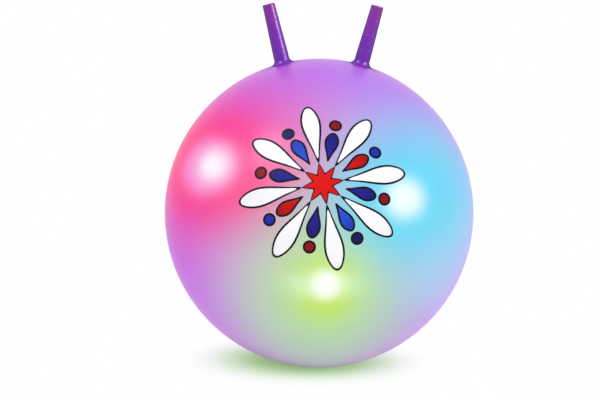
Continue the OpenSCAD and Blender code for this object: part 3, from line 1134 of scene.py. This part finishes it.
@dataclass
class InnerPieces:
    """The valve and the light capsules, which are the frame's own pieces with finishes put on."""

    lamp_tints: tuple[tuple[Lamp, Colour], ...] = (
        (Lamp.RED, (0.80, 0.02, 0.06)),
        (Lamp.BLUE, (0.05, 0.45, 0.85)),
        (Lamp.GREEN, (0.35, 0.70, 0.05)),
    )

    def dress(self) -> int:
        """Gives each of the frame's shown pieces its finish.

        Returns:
            The number of pieces dressed.
        """
        finishes = {
            "pocket": MouldedPlastic("pocket vinyl", (0.52, 0.36, 0.62), 0.45),
            "lens": MouldedPlastic("clear lens", (0.86, 0.88, 0.90), 0.15, clear=0.85),
            "case": MouldedPlastic("white case", (0.78, 0.78, 0.75), 0.40),
            "circuit_board": SolderMask(),
            "chip": MouldedPlastic("black resin", (0.012, 0.012, 0.014), 0.18),
            "switch_post": DrawnMetal("gilt pin", (0.72, 0.50, 0.20), 0.28),
            "switch_spring": DrawnMetal("spring steel", (0.50, 0.50, 0.52), 0.30),
            "cells": DrawnMetal("cell steel", (0.62, 0.63, 0.64), 0.26),
            "contacts": DrawnMetal("leaf brass", (0.70, 0.48, 0.18), 0.32),
            "screws": DrawnMetal("screw steel", (0.42, 0.42, 0.44), 0.34),
        }
        materials = {piece: finish.material() for piece, finish in finishes.items()}
        wanted: dict[str, Material] = {
            "valve_seat": MouldedPlastic("seat vinyl", (0.50, 0.20, 0.66), 0.40).material(),
            "valve_plug": MouldedPlastic("plug plastic", (0.80, 0.79, 0.77), 0.36).material(),
        }
        for lamp, tint in self.lamp_tints:
            resin = MouldedPlastic(f"{lamp.value} lamp", tint, 0.12, clear=0.4, glow=1.5)
            wanted[f"{lamp.value}_led"] = resin.material()
            for piece, material in materials.items():
                wanted[f"{lamp.value}_{piece}"] = material
        for node, material in wanted.items():
            mesh = frame["nodes"][node].data
            mesh.materials.clear()
            mesh.materials.append(material)
        return len(wanted)


@dataclass(frozen=True)
class StudioLamp:
    """A lamp box aimed at the ball, which may light the horns alone, as if screened from the rest."""

    name: str
    shine: Shine
    place: Point
    size: tuple[float, float]
    watts: float
    horns_only: bool = False

    def build(self, horns: list[Object]) -> None:
        """Adds the lamp to the scene.

        Args:
            horns: The ball's horns.
        """
        data = bpy.data.lights.new(self.name, "AREA")
        data.shape = "RECTANGLE"
        data.size, data.size_y = self.size
        data.energy = self.watts
        lamp = bpy.data.objects.new(self.name, data)
        lamp.location = self.place
        aim = Vector(BALL_CENTRE) - Vector(self.place)
        lamp.rotation_euler = aim.to_track_quat("-Z", "Y").to_euler()
        lamp.visible_camera = False
        lamp.visible_glossy = self.shine is Shine.HIGHLIGHT
        lamp.visible_diffuse = self.shine is Shine.SOFT
        bpy.context.scene.collection.objects.link(lamp)
        if self.horns_only:
            lit = bpy.data.collections.new(f"lit by the {self.name}")
            for horn in horns:
                lit.objects.link(horn)
            lamp.light_linking.receiver_collection = lit


@dataclass
class Studio:
    """Camera, lights, white world and floor."""

    image_width: float = 600.0
    image_height: float = 400.0
    ball_px: tuple[float, float] = (318.94, 212.85)
    ball_radius_px: float = 154.35
    distance: float = 2.5
    elevation: float = math.radians(10.0)
    roll: float = math.radians(1.12)
    sensor: float = 36.0
    ambient: float = 0.35
    floor_reach: float = 30.0
    floor_white: Colour = (0.90, 0.90, 0.90)
    shade_middle: Point = (-0.016, 0.0, 0.0)
    shade_shape: Point = (0.80, 1.0, 0.0)
    shade_reach: Span = (0.03, 0.16)
    least_white: float = 0.43
    # Painted green light round the ball: a green floor colour and a green glow that stand in for the green
    # lamp's light on the floor.
    painted_green_reach: Span = (0.06, 0.22)
    painted_green_light: Colour = (0.42, 0.90, 0.24)
    green_reach: Span = (0.03, 0.125)
    green_light: Colour = (0.53, 0.90, 0.40)
    lamps: tuple[StudioLamp, ...] = (
        StudioLamp("front", Shine.SOFT, (-0.4, -2.2, 1.5), (1.4, 1.4), 36.0),
        StudioLamp("side", Shine.SOFT, (1.73, -0.80, 0.84), (0.8, 0.8), 8.0),
        StudioLamp("top", Shine.SOFT, (0.0, 0.2, 2.4), (1.4, 1.4), 12.0),
        StudioLamp("right strip", Shine.HIGHLIGHT, (1.68, -0.76, 1.25), (0.8, 1.3), 52.0, horns_only=True),
        StudioLamp("left strip", Shine.HIGHLIGHT, (-1.30, -1.00, 1.95), (0.6, 0.8), 34.0),
    )

    def focal_px(self) -> float:
        """Focal length in pixels: the silhouette's radius is f R / sqrt(D^2 - R^2)."""
        return self.ball_radius_px * math.sqrt(self.distance**2 - BALL_RADIUS**2) / BALL_RADIUS

    def camera(self) -> None:
        """Puts the camera in front, aimed so that the ball falls where the photograph has it."""
        ahead = -heading(0.0, self.elevation)
        rising = np.cross(RIGHT, ahead)
        right = math.cos(self.roll) * RIGHT + math.sin(self.roll) * rising
        up = math.cos(self.roll) * rising - math.sin(self.roll) * RIGHT
        focal = self.focal_px()
        aside = (self.ball_px[0] - self.image_width / 2) / focal
        below = (self.ball_px[1] - self.image_height / 2) / focal
        aim = unit(ahead - aside * right + below * up)
        right = unit(np.cross(aim, up))
        up = np.cross(right, aim)
        data = bpy.data.cameras.new("camera")
        data.sensor_fit = "HORIZONTAL"
        data.sensor_width = self.sensor
        data.lens = focal * self.sensor / self.image_width
        camera = bpy.data.objects.new("camera", data)
        place = Matrix(np.column_stack([right, up, -aim]).tolist()).to_4x4()
        place.translation = Vector(BALL_CENTRE - ahead * self.distance)
        camera.matrix_world = place
        bpy.context.scene.collection.objects.link(camera)
        bpy.context.scene.camera = camera

    def world(self) -> None:
        """Makes a world that looks white and lights the ball softly from all round."""
        world = bpy.data.worlds.new("studio")
        bpy.context.scene.world = world
        wiring = Wiring(world)
        background = wiring.tree.nodes["Background"].inputs
        wiring.put(background["Color"], WHITE)
        wiring.put(background["Strength"], wiring.varied(wiring.seen(), self.ambient, 1.0))

    def floor(self) -> None:
        """Lays a white floor that keeps the ball's shadow, with the green light of the ball's lamp painted
        round it, and fades into the world.
        """
        reach = self.floor_reach
        mesh = bpy.data.meshes.new("floor")
        corners = [(-reach, -reach, 0.0), (reach, -reach, 0.0), (reach, reach, 0.0), (-reach, reach, 0.0)]
        mesh.from_pydata(corners, [], [[0, 1, 2, 3]])
        floor = bpy.data.objects.new("floor", mesh)
        bpy.context.scene.collection.objects.link(floor)
        wiring = Paint("floor")
        local = wiring.vector("SUBTRACT", wiring.point, self.shade_middle)
        away = wiring.vector("LENGTH", wiring.vector("MULTIPLY", local, self.shade_shape))
        # Painted green light: the floor's own colour turns green near the ball.
        tint = wiring.mix(wiring.span(away, *self.painted_green_reach), self.painted_green_light, self.floor_white)
        wiring.set(Base_Color=tint, Roughness=1.0, Specular_IOR_Level=0.0)
        # Painted green light: the white glow that camera rays see turns green near the ball.
        glow = wiring.mix(wiring.span(away, *self.green_reach), self.green_light, WHITE)
        white = wiring.node("Emission", glow).outputs["Emission"]
        fade = wiring.span(away, *self.shade_reach, self.least_white, 1.0)
        share = wiring.math("MULTIPLY", fade, wiring.seen())
        mixed = wiring.node("MixShader", share, wiring.shader.outputs["BSDF"], white)
        wiring.put(wiring.tree.nodes["Material Output"].inputs["Surface"], mixed.outputs["Shader"])
        mesh.materials.append(wiring.material)

    def build(self, horns: list[Object]) -> None:
        """Builds the studio.

        Args:
            horns: The ball's horns, for the lamp that lights them alone.
        """
        self.camera()
        self.world()
        self.floor()
        for lamp in self.lamps:
            lamp.build(horns)


def main() -> None:
    """Builds the dressed ball and its studio, in order, and reports each piece."""
    logging.basicConfig(level=logging.INFO, format="%(name)s: %(message)s")
    bpy.context.scene.view_settings.view_transform = "Standard"
    horns = [Horn(side).build() for side in Side]
    pieces = [BallSkin().build(), *horns]
    pieces += BurstPrint().build()
    Studio().build(horns)
    for piece in pieces:
        LOG.info("%s: %d faces", piece.name, len(piece.data.polygons))
    LOG.info("dressed %d pieces of the frame", InnerPieces().dress())


if __name__ == "__main__":
    main()
